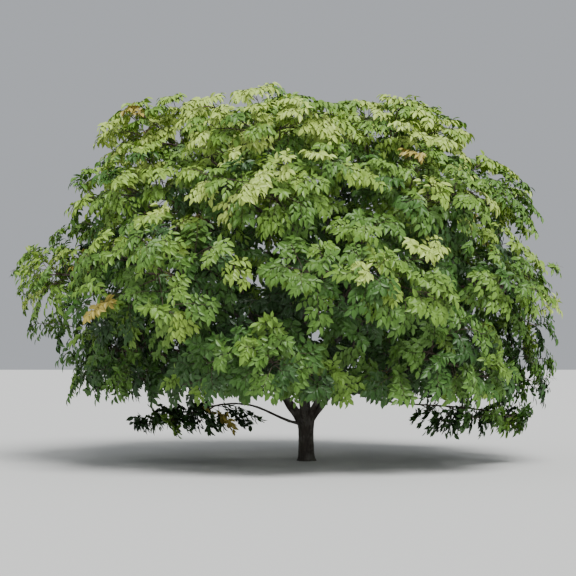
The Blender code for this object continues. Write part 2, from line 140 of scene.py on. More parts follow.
# The three lobes outside the tiers: azimuths and tilts in degrees, a tilt of -90 standing upright
TOP_LOBE = Vector((-0.20, 0.0, 4.20))
TOP_REACH = Vector((0.66, 0.85, 0.85))
TOP_AZIMUTH = 200
TOP_TILT = -90
TOP_SPRAY_LENGTH = 0.62
LOW_LEFT_LOBE = Vector((-1.42, -0.25, 0.56))
LOW_LEFT_REACH = Vector((0.92, 0.66, 0.34))
LOW_LEFT_AZIMUTH = 184
LOW_LEFT_TILT = 10
LOW_RIGHT_LOBE = Vector((2.05, -0.35, 0.64))
LOW_RIGHT_REACH = Vector((0.85, 0.80, 0.30))
LOW_RIGHT_AZIMUTH = 350
LOW_RIGHT_TILT = 0
LOW_SPRAY_LENGTH = 0.46
# The wall between the crown and the two low lobes, and the lowest that a leaf hangs
UNDERSIDE = 0.78
UNDERSIDE_TILT = -0.02
LOWEST = 0.32
# The ellipsoid that the whole crown fills, which says which way is out
CROWN_CENTRE = Vector((-0.15, 0.0, 2.1))
CROWN_AXES = Vector((3.55, 3.4, 2.7))
SPRAY_LIFT = 0.5

Lobe = namedtuple("Lobe", "name azimuth centre axes reach spray walls")


def heading(azimuth, rise=0.0):
    """The unit vector at an azimuth from +X and a rise above the level, in degrees."""
    turn, lift = math.radians(azimuth), math.radians(rise)
    return Vector((math.cos(turn) * math.cos(lift), math.sin(turn) * math.cos(lift), math.sin(lift)))


def make_lobe(name, azimuth, centre, reach, tilt=0.0, spray=SPRAY_LENGTH):
    """A lobe whose reach is outward, sideways and upward, leaned down by a tilt in degrees."""
    outward = heading(azimuth, -tilt)
    sideways = heading(azimuth + 90)
    return Lobe(name, azimuth, centre, (outward, sideways, outward.cross(sideways)), reach, spray, [])


def tier_lobes(tier):
    """The lobes of one tier, evenly round the trunk with a little play."""
    draw = random.Random(f"{SEED} {tier.name}")
    for i in range(tier.count):
        azimuth = tier.turn + 360.0 * i / tier.count
        left = -math.cos(math.radians(azimuth))
        reach = (1 + tier.lean * left) * draw.uniform(1 - LOBE_REACH_PLAY, 1 + LOBE_REACH_PLAY)
        height = tier.height + LEFT_LIFT * left + draw.uniform(-1, 1) * LOBE_HEIGHT_PLAY
        centre = heading(azimuth) * (tier.ring * reach) + UP * height
        yield make_lobe(f"{tier.name}_{i + 1}", azimuth, centre, Vector((tier.out, tier.side, tier.up)))


def crown_lobes():
    """Every lobe, with walls that part the high lobes from each other and from the low ones."""
    high = [lobe for tier in TIERS for lobe in tier_lobes(tier)]
    high.append(make_lobe("top", TOP_AZIMUTH, TOP_LOBE, TOP_REACH, TOP_TILT, TOP_SPRAY_LENGTH))
    low = [
        make_lobe("low_left", LOW_LEFT_AZIMUTH, LOW_LEFT_LOBE, LOW_LEFT_REACH, LOW_LEFT_TILT,
                  LOW_SPRAY_LENGTH),
        make_lobe("low_right", LOW_RIGHT_AZIMUTH, LOW_RIGHT_LOBE, LOW_RIGHT_REACH, LOW_RIGHT_TILT,
                  LOW_SPRAY_LENGTH),
    ]
    slope = Vector((-UNDERSIDE_TILT, 0, 1)).normalized()
    level = slope.dot(UP * UNDERSIDE)
    for lobe in high:
        lobe.walls.append((-slope, -level))
        for other in high:
            if other is not lobe:
                away = (other.centre - lobe.centre).normalized()
                lobe.walls.append((away, away.dot(other.centre + lobe.centre) / 2))
    for lobe in low:
        lobe.walls.append((slope, level))
        lobe.walls.append((-UP, -LOWEST))
    return high + low


def in_space(lobe, point, room):
    """Whether a point lies in the lobe's own space, with room to spare."""
    offset = point - lobe.centre
    share = Vector([offset.dot(axis) / (reach - room) for axis, reach in zip(lobe.axes, lobe.reach)])
    return share.length < 1 and all(away.dot(point) < wall - room for away, wall in lobe.walls)


def crown_normal(point):
    """The way that sprays face at a point: out of the crown, and raised to the light."""
    offset = point - CROWN_CENTRE
    out = Vector([away / reach**2 for away, reach in zip(offset, CROWN_AXES)]).normalized()
    return (out + UP * SPRAY_LIFT).normalized()


lobes = crown_lobes()
print(len(lobes), "lobes of foliage, in tiers of", [tier.count for tier in TIERS])

# %% [markdown]
# Seven main limbs rise from the low fork in a fan, and a leader goes on up the middle. Each main
# limb ends in a shoulder lobe and bears one lateral for the belt and one for the skirt, and the
# leader ends in the top and bears the five laterals of the crest. A smooth Bezier bend with a
# little seeded crookedness looks grown, where a straight line would look built.

# %% Limbs
Limb = namedtuple("Limb", "name parent points radii")
# Where a limb enters its lobe, as shares of the lobe's reach inwards and down, and its rise there
Mouth = namedtuple("Mouth", "inward sink rise")
LIMB_WANDER = 0.022
TAPER = 0.8
# The leader and the main limbs: heights on the trunk, and rises in degrees
UPRIGHT_SLACK = 0.36
UPRIGHT_STEPS = 7
LEADER_RADIUS = 0.044
LEADER_FOOT = 0.60
LEADER_AZIMUTH = 20
LEADER_RISE = 84
LEADER_MOUTH = Mouth(0.80, 0.0, 84)
MAIN_COUNT = 7
MAIN_RADIUS = 0.036
RIGHT_MAIN_RADIUS = 0.046
MAIN_TIP_RADIUS = 0.016
MAIN_FOOT = 0.40
MAIN_FOOT_STEP = 0.10
RIGHT_MAIN_FOOT = 0.46
MAIN_RISE = 46
MAIN_MOUTH = Mouth(0.66, 0.40, 64)
# The laterals: joints as shares of the bearer's length, and how hard each turns outwards there
LATERAL_SLACK = 0.33
LATERAL_STEPS = 4
LATERAL_RADIUS = 0.022
LATERAL_TIP_RADIUS = 0.015
CREST_COUNT = 5
CREST_JOINT = 0.52
CREST_JOINT_STEP = 0.07
CREST_PULL = 1.2
CREST_MOUTH = Mouth(0.62, 0.40, 50)
BELT_JOINT = 0.50
BELT_PULL = 1.3
BELT_MOUTH = Mouth(0.72, 0.30, 24)
SKIRT_JOINT = 0.22
SKIRT_JOINT_STEP = 0.03
RIGHT_SKIRT_JOINT = 0.19
SKIRT_PULL = 1.7
SKIRT_MOUTH = Mouth(0.72, 0.20, 14)
# The two low limbs: azimuth and rise at each end, in degrees
LOW_STEPS = 5
LOW_LEFT_FOOT = 0.465
LOW_LEFT_TIP = Vector((-0.92, -0.12, 0.745))
LOW_LEFT_RADII = (0.021, 0.012)
LOW_LEFT_START = (184, 4)
LOW_LEFT_END = (186, -4)
LOW_LEFT_SLACK = 0.38
LOW_RIGHT_JOINT = 0.12
LOW_RIGHT_TIP = Vector((1.36, -0.24, 0.74))
LOW_RIGHT_RADII = (0.017, 0.010)
LOW_RIGHT_START = (344, 4)
LOW_RIGHT_END = (352, 4)
LOW_RIGHT_SLACK = 0.36


def bend(start, start_heading, end, end_heading, slack, steps):
    """Points along a smooth bend between two places. slack is the handles' share of the span."""
    span = (end - start).length * slack
    handles = (start + start_heading * span, end - end_heading * span)
    return interpolate_bezier(start, *handles, end, steps + 1)


def make_limb(name, parent, points, radii, wander=0.0):
    """A limb that tapers from its base radius to its tip radius and may wander between its ends."""
    draw = random.Random(f"{SEED} {name}")
    last = len(points) - 1
    crooked = [
        point + Vector([draw.uniform(-1, 1) for _ in range(3)]) * (wander if 1 < i < last - 1 else 0)
        for i, point in enumerate(points)
    ]
    base, tip = radii
    return Limb(name, parent, crooked, [base + (tip - base) * (i / last) ** TAPER for i in range(last + 1)])


def along(limb, share):
    """The place and heading at a share of a limb's length."""
    place = share * (len(limb.points) - 1)
    i = min(int(place), len(limb.points) - 2)
    a, b = limb.points[i], limb.points[i + 1]
    return a.lerp(b, place - i), (b - a).normalized()


def lobe_mouth(lobe, mouth):
    """The place and heading at which a limb enters a lobe."""
    out, _, up = lobe.axes
    place = lobe.centre - out * (lobe.reach[0] * mouth.inward) - up * (lobe.reach[2] * mouth.sink)
    return place, heading(lobe.azimuth, mouth.rise)


def grow_limbs(lobes):
    """The leader, the main limbs and their laterals: one limb for each lobe, by the lobe's name."""
    lobe_of = {lobe.name: lobe for lobe in lobes}
    limbs = {}

    def lateral(name, parent, share, lobe_name, pull, mouth):
        """A limb that leaves another at a share of its length."""
        start, forward = along(parent, share)
        first = (forward + heading(lobe_of[lobe_name].azimuth) * pull).normalized()
        points = bend(start, first, *lobe_mouth(lobe_of[lobe_name], mouth), LATERAL_SLACK, LATERAL_STEPS)
        limbs[lobe_name] = make_limb(name, parent.name, points, (LATERAL_RADIUS, LATERAL_TIP_RADIUS))

    def upright(name, height, first, lobe_name, mouth, radius):
        """A limb that leaves the trunk at a height."""
        end = lobe_mouth(lobe_of[lobe_name], mouth)
        points = bend(trunk_axis(height), first, *end, UPRIGHT_SLACK, UPRIGHT_STEPS)
        limbs[lobe_name] = make_limb(name, "trunk", points, (radius, MAIN_TIP_RADIUS), LIMB_WANDER)
        return limbs[lobe_name]

    first = heading(LEADER_AZIMUTH, LEADER_RISE)
    leader = upright("leader", LEADER_FOOT, first, "top", LEADER_MOUTH, LEADER_RADIUS)
    for i in range(1, CREST_COUNT + 1):
        share = CREST_JOINT + CREST_JOINT_STEP * i
        lateral(f"leader_lateral_{i}", leader, share, f"crest_{i}", CREST_PULL, CREST_MOUTH)
    for i in range(1, MAIN_COUNT + 1):
        first = heading(lobe_of[f"shoulder_{i}"].azimuth, MAIN_RISE)
        height, radius = MAIN_FOOT + MAIN_FOOT_STEP * (i % 2), MAIN_RADIUS
        share = SKIRT_JOINT + SKIRT_JOINT_STEP * (i % 3)
        if i == 1:
            height, radius, share = RIGHT_MAIN_FOOT, RIGHT_MAIN_RADIUS, RIGHT_SKIRT_JOINT
        main = upright(f"main_{i}", height, first, f"shoulder_{i}", MAIN_MOUTH, radius)
        lateral(f"belt_lateral_{i}", main, BELT_JOINT, f"belt_{i}", BELT_PULL, BELT_MOUTH)
        lateral(f"skirt_lateral_{i}", main, share, f"skirt_{i}", SKIRT_PULL, SKIRT_MOUTH)

    start = trunk_axis(LOW_LEFT_FOOT)
    ends = heading(*LOW_LEFT_START), LOW_LEFT_TIP, heading(*LOW_LEFT_END)
    points = bend(start, *ends, LOW_LEFT_SLACK, LOW_STEPS)
    limbs["low_left"] = make_limb("low_left_limb", "trunk", points, LOW_LEFT_RADII)
    bearer = limbs["skirt_1"]
    start, _ = along(bearer, LOW_RIGHT_JOINT)
    ends = heading(*LOW_RIGHT_START), LOW_RIGHT_TIP, heading(*LOW_RIGHT_END)
    points = bend(start, *ends, LOW_RIGHT_SLACK, LOW_STEPS)
    limbs["low_right"] = make_limb("low_right_limb", bearer.name, points, LOW_RIGHT_RADII)
    return limbs


limbs = grow_limbs(lobes)
print(len(limbs), "limbs, the thickest", max(limb.radii[0] for limb in limbs.values()) * 2, "m thick")

# %% [markdown]
# Inside each lobe a stem grows on from its limb, and twigs leave the stem at a slant, each for
# the emptiest place that is left. Trees do much the same: a bud that finds light grows on, and a
# crowded one doesn't. Trying thirty places and keeping the loneliest gives an even spread.

# %% Stems and twigs
# The hair's breadth between a limb's tip and its stem, which are two solids in the plain model
GAP = 0.0003
STEM_COLLAR = 0.03
STEM_TIP_RADIUS = 0.012
STEM_THINNING = 0.92
# The stem's end, as shares of the lobe's reach outwards and up, and the way that it points
STEM_REACH = 0.36
STEM_LIFT = 0.05
STEM_DROOP = 0.2
STEM_SLACK = 0.3
STEM_STEPS = 3
TWIGS_PER_MASS = 7
FIRST_TWIG = 0.30
LAST_TWIG = 0.96
TWIG_INSET = 0.30
PLACE_TRIES = 30
OUTER_CHOICE = 0.3
BEST_TWIG_SLANT = 0.5


def grow_stem(lobe, limb):
    """The stem of a mass, which grows on from its limb's tip out through the lobe."""
    out, _, up = lobe.axes
    entry = (limb.points[-1] - limb.points[-2]).normalized()
    end = lobe.centre + out * (lobe.reach[0] * STEM_REACH) + up * (lobe.reach[2] * STEM_LIFT)
    last = (out - up * STEM_DROOP).normalized()
    foot = limb.points[-1] + entry * GAP
    points = [foot] + bend(foot + entry * STEM_COLLAR, entry, end, last, STEM_SLACK, STEM_STEPS)
    radii = (limb.radii[-1] * STEM_THINNING, STEM_TIP_RADIUS)
    return make_limb(lobe.name + "_stem", limb.name, points, radii)


def spread_places(draw, lobe, stem, count):
    """Places spread evenly through a lobe, each as far as can be from the stem and the others."""
    taken = list(stem.points)
    for _ in range(count):
        found = []
        while len(found) < PLACE_TRIES:
            share = [draw.uniform(-1, 1) for _ in range(3)]
            steps = [axis * (reach * part) for axis, reach, part in zip(lobe.axes, lobe.reach, share)]
            place = sum(steps, lobe.centre)
            if in_space(lobe, place, lobe.spray * TWIG_INSET):
                outside = (place - lobe.centre).dot(crown_normal(place)) / lobe.reach[0]
                bare = min((place - other).length for other in taken)
                found.append((bare * (1 + OUTER_CHOICE * outside), place))
        taken.append(max(found, key=lambda item: item[0])[1])
    return taken[len(stem.points):]


def slanting_way(joint, place):
    """The way from a joint of the stem to a place, longer where it leaves the stem squarely."""
    origin, forward = joint
    way = place - origin
    return way.length + max(0.0, BEST_TWIG_SLANT - way.normalized().dot(forward))


def grow_twigs(lobe, stem):
    """Twigs that leave the stem at a slant, each for its own place in the lobe."""
    draw = random.Random(f"{SEED} {lobe.name} twigs")
    count = 2 * TWIGS_PER_MASS
    joints = [along(stem, FIRST_TWIG + (LAST_TWIG - FIRST_TWIG) * i / count) for i in range(count)]
    for place in spread_places(draw, lobe, stem, TWIGS_PER_MASS):
        joints.sort(key=lambda joint: slanting_way(joint, place))
        yield joints.pop(0)[0], place


stems = {lobe.name: grow_stem(lobe, limbs[lobe.name]) for lobe in lobes}
twigs = {lobe.name: list(grow_twigs(lobe, stems[lobe.name])) for lobe in lobes}
print(sum(len(found) for found in twigs.values()), "twigs on", len(stems), "stems")

# %% [markdown]
# From here on there are thousands of like things, so they are worked out all at once with numpy
# arrays. A spray is the unit that the eye reads in a hornbeam: a thin branchlet with side shoots
# to left and right in one plane, which lies along the crown's surface and droops at its tip.
# Each spray reaches for one of the emptiest places in its lobe, from wood that is near and that
# it can leave at a slant.

# %% Places for sprays
SPRAYS_PER_MASS = 62
SPRAYS_PER_LOW_MASS = 24
SPRAY_ROOM = 0.09
# The share of that room that is kept to a wall between lobes
WALL_ROOM = 0.4
# Drooping tips need more room above a wall that faces down, under the crown or a low lobe
UNDERSIDE_ROOM = 0.20
FACES_DOWN = -0.99
CANDIDATES = 2600
OUTER_PULL = 0.55
FARTHEST = 9.0
TINY = 1e-9
rng = np.random.default_rng(SEED)


def unit(ways):
    """The same ways, each of length 1."""
    return ways / np.maximum(np.linalg.norm(ways, axis=-1, keepdims=True), TINY)


def many_normals(places):
    """The way that sprays face at many places."""
    out = unit((places - np.array(CROWN_CENTRE)) / np.array(CROWN_AXES) ** 2)
    return unit(out + np.array(UP) * SPRAY_LIFT)


def places_in(lobe, room):
    """Random places in a lobe's space."""
    share = rng.uniform(-1, 1, (CANDIDATES, 3))
    axes = np.array(lobe.axes)
    reach = np.array(lobe.reach)
    offset = (share * reach) @ axes
    inside = np.linalg.norm(share * reach / (reach - room), axis=1) < 1
    places = np.array(lobe.centre) + offset
    for away, wall in lobe.walls:
        kept_clear = UNDERSIDE_ROOM if away.z < FACES_DOWN else room * WALL_ROOM
        inside &= places @ np.array(away) < wall - kept_clear
    return places[inside]


def emptiest(places, lobe, count):
    """A well spread choice of places, the crown's outside a little denser than its inside."""
    outside = np.einsum("ij,ij->i", places - np.array(lobe.centre), many_normals(places)) / lobe.reach[0]
    weight = 1 + OUTER_PULL * outside
    nearest = np.full(len(places), FARTHEST)
    chosen = []
    for _ in range(min(count, len(places))):
        pick = int(np.argmax(nearest * weight))
        chosen.append(pick)
        nearest = np.minimum(nearest, np.linalg.norm(places - places[pick], axis=1))
    return places[chosen]


spray_places = {}
for lobe in lobes:
    low = lobe.name.startswith("low")
    count = SPRAYS_PER_LOW_MASS if low else SPRAYS_PER_MASS
    spray_places[lobe.name] = emptiest(places_in(lobe, SPRAY_ROOM), lobe, count)
print(sum(len(places) for places in spray_places.values()), "places for sprays")

# %% [markdown]
# A branchlet is a curve from its foot on a stem or twig to its place, drawn towards a third point
# that lies between them, forward and up. Its tip then hangs, more the longer it is. One formula
# with arrays bends a whole lobe's branchlets at once.

# %% Branchlets
# Shares of a stem's and a twig's length at which a branchlet may start
STEM_STARTS = np.linspace(0.45, 1.0, 9)
TWIG_STARTS = np.linspace(0.2, 1.0, 8)
# What a start costs, in metres of way, where it is too square to the wood or too near the place
SQUARE_COST = 0.35
BEST_SLANT = 0.4
NEAR_COST = 0.5
NEAR = 0.12
BRANCHLET_POINTS = 6
BRANCHLET_BOW = 0.18
BRANCHLET_RISE = 0.10
BRANCHLET_DROOP = 0.16


def wood_of(name):
    """Points and headings along the stem and twigs of a mass."""
    points, ways = [], []
    for share in STEM_STARTS:
        place, forward = along(stems[name], share)
        points.append(place)
        ways.append(forward)
    for start, end in twigs[name]:
        for share in TWIG_STARTS:
            points.append(start.lerp(end, share))
            ways.append((end - start).normalized())
    return np.array(points), np.array(ways)


def branchlets(name, places):
    """A drooping line from wood that is near, at a slant, to each place."""
    points, ways = wood_of(name)
    gaps = places[:, None] - points[None]
    length = np.linalg.norm(gaps, axis=2)
    slant = np.einsum("ijk,jk->ij", gaps, ways) / np.maximum(length, TINY)
    cost = length + SQUARE_COST * np.maximum(BEST_SLANT - slant, 0) + NEAR_COST * (length < NEAR)
    best = np.argmin(cost, axis=1)
    start, forward = points[best], ways[best]
    span = np.linalg.norm(places - start, axis=1, keepdims=True)
    bow = forward * span * BRANCHLET_BOW
    middle = (start + places) / 2 + bow + np.array(UP) * span * BRANCHLET_RISE
    t = np.linspace(0, 1, BRANCHLET_POINTS)[None, :, None]
    lines = start[:, None] * (1 - t) ** 2 + middle[:, None] * 2 * t * (1 - t) + places[:, None] * t**2
    lines[:, :, 2] -= BRANCHLET_DROOP * span * t[:, :, 0] ** 3
    return lines


spray_lines = np.concatenate([branchlets(name, places) for name, places in spray_places.items()])
spans = np.linalg.norm(spray_lines[:, -1] - spray_lines[:, 0], axis=1)
print(len(spray_lines), "branchlets, the longest", np.round(spans.max(), 2), "m")

# %% [markdown]
# Side shoots leave a branchlet left and right in turn, and are shorter towards its tip. They lie
# in the spray's plane and sag a little, because each carries a row of leaves.

# %% Shoots
SHOOTS_PER_SPRAY = 6
SHOOT_POINTS = 3
# The share of the branchlet at the first shoot, from there to the last, and each one's play
FIRST_SHOOT = 0.34
SHOOT_RUN = 0.58
SHOOT_PLAY = 0.04
SHOOT_LEAN = (0.5, 1.0)
SHOOT_SCATTER = 0.16
# A shoot's length: so much of it at the branchlet's foot, and so much less at its tip
SHOOT_LENGTH = 0.21
SHOOT_AT_FOOT = 1.15
SHOOT_SHORTENING = 0.65
SHOOT_SIZES = (0.75, 1.25)
SHOOT_SAG = 0.20
# Just short of a line's end, so that a place on it always has a step to lie in
LINE_END = 0.9999


def on_lines(lines, share):
    """Places and headings at a share of each line, which may differ from line to line."""
    steps = lines.shape[1] - 1
    place = np.clip(share, 0, LINE_END) * steps
    i = place.astype(int)
    row = np.arange(len(lines))
    a, b = lines[row, i], lines[row, i + 1]
    return a + (b - a) * (place - i)[:, None], unit(b - a)


def side_shoots(lines):
    """Shoots to left and right of each branchlet, and the spray that each belongs to."""
    made, owner = [], []
    for k in range(SHOOTS_PER_SPRAY):
        middle = FIRST_SHOOT + SHOOT_RUN * k / (SHOOTS_PER_SPRAY - 1)
        share = middle + rng.uniform(-SHOOT_PLAY, SHOOT_PLAY, len(lines))
        root, forward = on_lines(lines, share)
        side = unit(np.cross(forward, many_normals(root))) * (1 if k % 2 else -1)
        lean = rng.uniform(*SHOOT_LEAN, (len(lines), 1))
        way = unit(forward * lean + side + rng.normal(0, SHOOT_SCATTER, (len(lines), 3)))
        size = SHOOT_LENGTH * (SHOOT_AT_FOOT - SHOOT_SHORTENING * share)
        size = size * rng.uniform(*SHOOT_SIZES, len(lines))
        t = np.linspace(0, 1, SHOOT_POINTS)[None, :, None]
        line = root[:, None] + way[:, None] * size[:, None, None] * t
        line[:, :, 2] -= SHOOT_SAG * size[:, None] * t[:, :, 0] ** 2
        made.append(line)
        owner.append(np.arange(len(lines)))
    return np.concatenate(made), np.concatenate(owner)


shoot_lines, shoot_owner = side_shoots(spray_lines)
print(len(shoot_lines), "side shoots")

# %% [markdown]
# A hornbeam's leaves stand left and right in turn, are about twice as long as broad, and end in a
# drawn-out point. They fold up a little along the midrib and hang their tips. Eight triangles are
# enough for that outline at this distance: the fold catches the light on one half of the blade
# and shades the other, which is what makes foliage sparkle.

# %% Leaves
LEAF_LENGTH = 0.104
LEAF_SIZES = (0.74, 1.16)
# Width and the drop of the tip as shares of the length, the fold's rise as a share of half width
LEAF_WIDTH = 0.50
LEAF_ARCH = 0.22
LEAF_FOLD = 0.40
# How far leaves turn from the crown's face, lean forward along the wood, and hang
LEAF_TURN = 0.30
LEAF_LEAN = (0.5, 0.9)
LEAF_HANG = (0.15, 0.75)
# The last leaf of a line goes on ahead, with little of the step to the side
LAST_LEAF_SIDE = 0.15
BRANCHLET_LEAVES = 9
BRANCHLET_LEAF_SPAN = (0.40, 0.999)
SHOOT_LEAVES = 6
SHOOT_LEAF_SPAN = (0.16, 0.999)
# One blade's corners: place along the midrib, and place across as a share of half the width
LEAF_CORNERS = np.array([
    (0.00, 0.0), (0.28, 0.92), (0.30, 0.0), (0.28, -0.92),
    (0.64, 0.86), (0.66, 0.0), (0.64, -0.86), (1.00, 0.0),
])
LEAF_TRIANGLES = np.array([(0, 3, 2), (0, 2, 1), (5, 6, 7), (5, 7, 4)])
LEAF_QUADS = np.array([(2, 3, 6, 5), (2, 5, 4, 1)])

Leaves = namedtuple("Leaves", "root forward normal length owner")


def together(groups):
    """Several groups of leaves as one."""
    return Leaves(*(np.concatenate(column) for column in zip(*groups)))


def leaves_along(lines, owner, span, count):
    """Leaves in turn to left and right along each line, over a span of it given as two shares."""
    first, last = span
    found = []
    for k in range(count):
        share = first + (last - first) * k / (count - 1)
        root, forward = on_lines(lines, np.full(len(lines), share))
        normal = unit(many_normals(root) + rng.normal(0, LEAF_TURN, root.shape))
        side = unit(np.cross(forward, normal)) * (1 if k % 2 else -1)
        if k == count - 1:
            side = side * LAST_LEAF_SIDE
        way = forward * rng.uniform(*LEAF_LEAN, (len(lines), 1)) + side
        way[:, 2] -= rng.uniform(*LEAF_HANG, len(lines))
        size = LEAF_LENGTH * rng.uniform(*LEAF_SIZES, len(lines))
        found.append(Leaves(root, unit(way), normal, size, owner))
    return together(found)


def blade_places(leaves):
    """The eight corners of each leaf."""
    across = unit(np.cross(leaves.forward, leaves.normal))
    lift = np.cross(across, leaves.forward)
    rib, half = LEAF_CORNERS[:, 0], LEAF_CORNERS[:, 1] * LEAF_WIDTH / 2
    raised = LEAF_FOLD * np.abs(half) - LEAF_ARCH * rib**2
    size = leaves.length[:, None, None]
    return leaves.root[:, None] + size * (
        leaves.forward[:, None] * rib[None, :, None]
        + across[:, None] * half[None, :, None]
        + lift[:, None] * raised[None, :, None]
    )


leaves = together([
    leaves_along(spray_lines, np.arange(len(spray_lines)), BRANCHLET_LEAF_SPAN, BRANCHLET_LEAVES),
    leaves_along(shoot_lines, shoot_owner, SHOOT_LEAF_SPAN, SHOOT_LEAVES),
])
corners = blade_places(leaves)
# Leaves that would stand out of the plain model's box or hang too low are left out
kept = np.all((corners > np.array(cad_low)) & (corners < np.array(cad_high)), axis=(1, 2))
kept &= corners[:, :, 2].min(axis=1) > LOWEST
corners = corners[kept]
leaf_owner = leaves.owner[kept]
blade_triangles = len(LEAF_TRIANGLES) + 2 * len(LEAF_QUADS)
print(len(corners), "leaves,", blade_triangles * len(corners), "triangles")

# %% [markdown]
# Many small things go to Blender as a few joined meshes. This helper takes numpy arrays of
# corners and faces, which is far quicker than adding faces one by one.

# %% Meshes from arrays
tree = bpy.data.collections.new("dressed_hornbeam")
bpy.context.scene.collection.children.link(tree)


def mesh_piece(name, points, faces, material, smooth=False):
    """One object from an array of points and a list of arrays of faces."""
    mesh = bpy.data.meshes.new(name)
    mesh.vertices.add(len(points))
    mesh.vertices.foreach_set("co", np.ascontiguousarray(points, np.float32).ravel())
    face_points = np.concatenate([group.ravel() for group in faces]).astype(np.int32)
    sizes = np.concatenate([np.full(len(group), group.shape[1]) for group in faces])
    mesh.loops.add(len(face_points))
    mesh.loops.foreach_set("vertex_index", face_points)
    mesh.polygons.add(len(sizes))
    starts = np.concatenate([[0], np.cumsum(sizes)[:-1]]).astype(np.int32)
    mesh.polygons.foreach_set("loop_start", starts)
    mesh.polygons.foreach_set("use_smooth", np.full(len(sizes), smooth))
    mesh.update(calc_edges=True)
    mesh.validate()
    mesh.materials.append(material)
    piece = bpy.data.objects.new(name, mesh)
    tree.objects.link(piece)
    return piece


def tube_arrays(lines, radii, sides):
    """Points and faces of round tubes with closed ends, along many lines of as many points."""
    count, steps, _ = lines.shape
    way = unit(np.gradient(lines, axis=1))
    flattest = np.argmin(np.abs(way.mean(axis=1)), axis=1)
    helper = np.eye(3)[flattest][:, None]
    a = unit(np.cross(way, helper))
    b = np.cross(way, a)
    turn = 2 * np.pi * np.arange(sides) / sides
    ring = a[:, :, None] * np.cos(turn)[:, None] + b[:, :, None] * np.sin(turn)[:, None]
    points = lines[:, :, None] + ring * radii[:, :, None, None]
    first = (np.arange(count) * steps * sides)[:, None, None]
    step = (np.arange(steps - 1) * sides)[None, :, None]
    here = np.arange(sides)[None, None, :]
    after = (here + 1) % sides
    quads = np.stack([first + step + here, first + step + after,
                      first + step + sides + after, first + step + sides + here], axis=-1)
    base = first[:, 0] + np.arange(sides)[None, ::-1]
    tip = first[:, 0] + (steps - 1) * sides + np.arange(sides)[None]
    return points.reshape(-1, 3), [quads.reshape(-1, 4), base, tip]


def one_tube(line, girth, sides):
    """Points and faces of a single round tube."""
    return tube_arrays(line[None], girth[None], sides)


def joined(parts):
    """Several (points, faces) as one."""
    points, faces, offset = [], [], 0
    for some_points, some_faces in parts:
        points.append(some_points)
        faces += [group + offset for group in some_faces]
        offset += len(some_points)
    return np.concatenate(points), faces


print("Ready to make meshes")

# %% [markdown]
# Finishes are small networks of shader nodes. This class wraps a socket so that shader maths
# reads as plain arithmetic: each operator adds one Math node behind the scenes.

# %% A class for shader maths
class Wire:
    """A shader socket that can be added and multiplied in plain expressions."""

    def __init__(self, network, socket=None):
        self.network = network
        self.socket = socket

    def node(self, kind, settings, inputs, output=0):
        """A node of a kind, its settings made first, then its sockets set or linked."""
        made = self.network.nodes.new(kind)
        for name, value in settings.items():
            setattr(made, name, value)
        for key, value in inputs.items():
            if isinstance(value, Wire):
                self.network.links.new(value.socket, made.inputs[key])
            else:
                made.inputs[key].default_value = value
        return Wire(self.network, made.outputs[output])

    def maths(self, operation, left, right):
        """A Math node on two wires or numbers."""
        return self.node("ShaderNodeMath", {"operation": operation}, {0: left, 1: right})

    def __add__(self, other):
        return self.maths("ADD", self, other)

    def __mul__(self, other):
        return self.maths("MULTIPLY", self, other)

    __radd__ = __add__
    __rmul__ = __mul__


def new_finish(name, settings):
    """A material whose shader has constant settings, its shader, and a wire to build with."""
    material = bpy.data.materials.new(name)
    material.use_nodes = True
    shader = material.node_tree.nodes["Principled BSDF"]
    for socket, value in settings.items():
        shader.inputs[socket].default_value = value
    return material, shader, Wire(material.node_tree)


print("Shader maths is ready")

# %% [markdown]
# Hornbeam bark is thin, smooth and dark grey, stretched over ridges like muscles. Here the colour
# drifts between near black and a worn grey along the grain, a second, larger noise lays paler
# patches over it, and a fine bump breaks up the shine. The big ridges are left to the mesh.

# %% Bark and twig finishes
BARK_DARK = (0.022, 0.018, 0.015, 1.0)
BARK_WORN = (0.105, 0.088, 0.074, 1.0)
BARK_PALE = (0.17, 0.165, 0.145, 1.0)
BARK_ROUGHNESS = 0.85
BARK_GLOSS = 0.3
TWIG_COLOUR = (0.075, 0.050, 0.034, 1.0)
TWIG_ROUGHNESS = 0.6
# Coordinates scaled down along the trunk draw the noise out into streaks
GRAIN = (1.0, 1.0, 0.22)
STREAK_SCALE = 46.0
STREAK_DETAIL = 6.0
PATCH_SCALE = 7.0
PATCH_DETAIL = 4.0
# What the streaks add to the patches, where the sum turns pale, and how pale it gets
STREAKS_IN_PATCHES = 0.35
PALE_FROM = 0.62
PALE_TO = 0.86
PALE_STRENGTH = 0.75
BUMP_STRENGTH = 0.55
BUMP_DEPTH = 0.006
PATCHES_IN_BUMP = 0.5


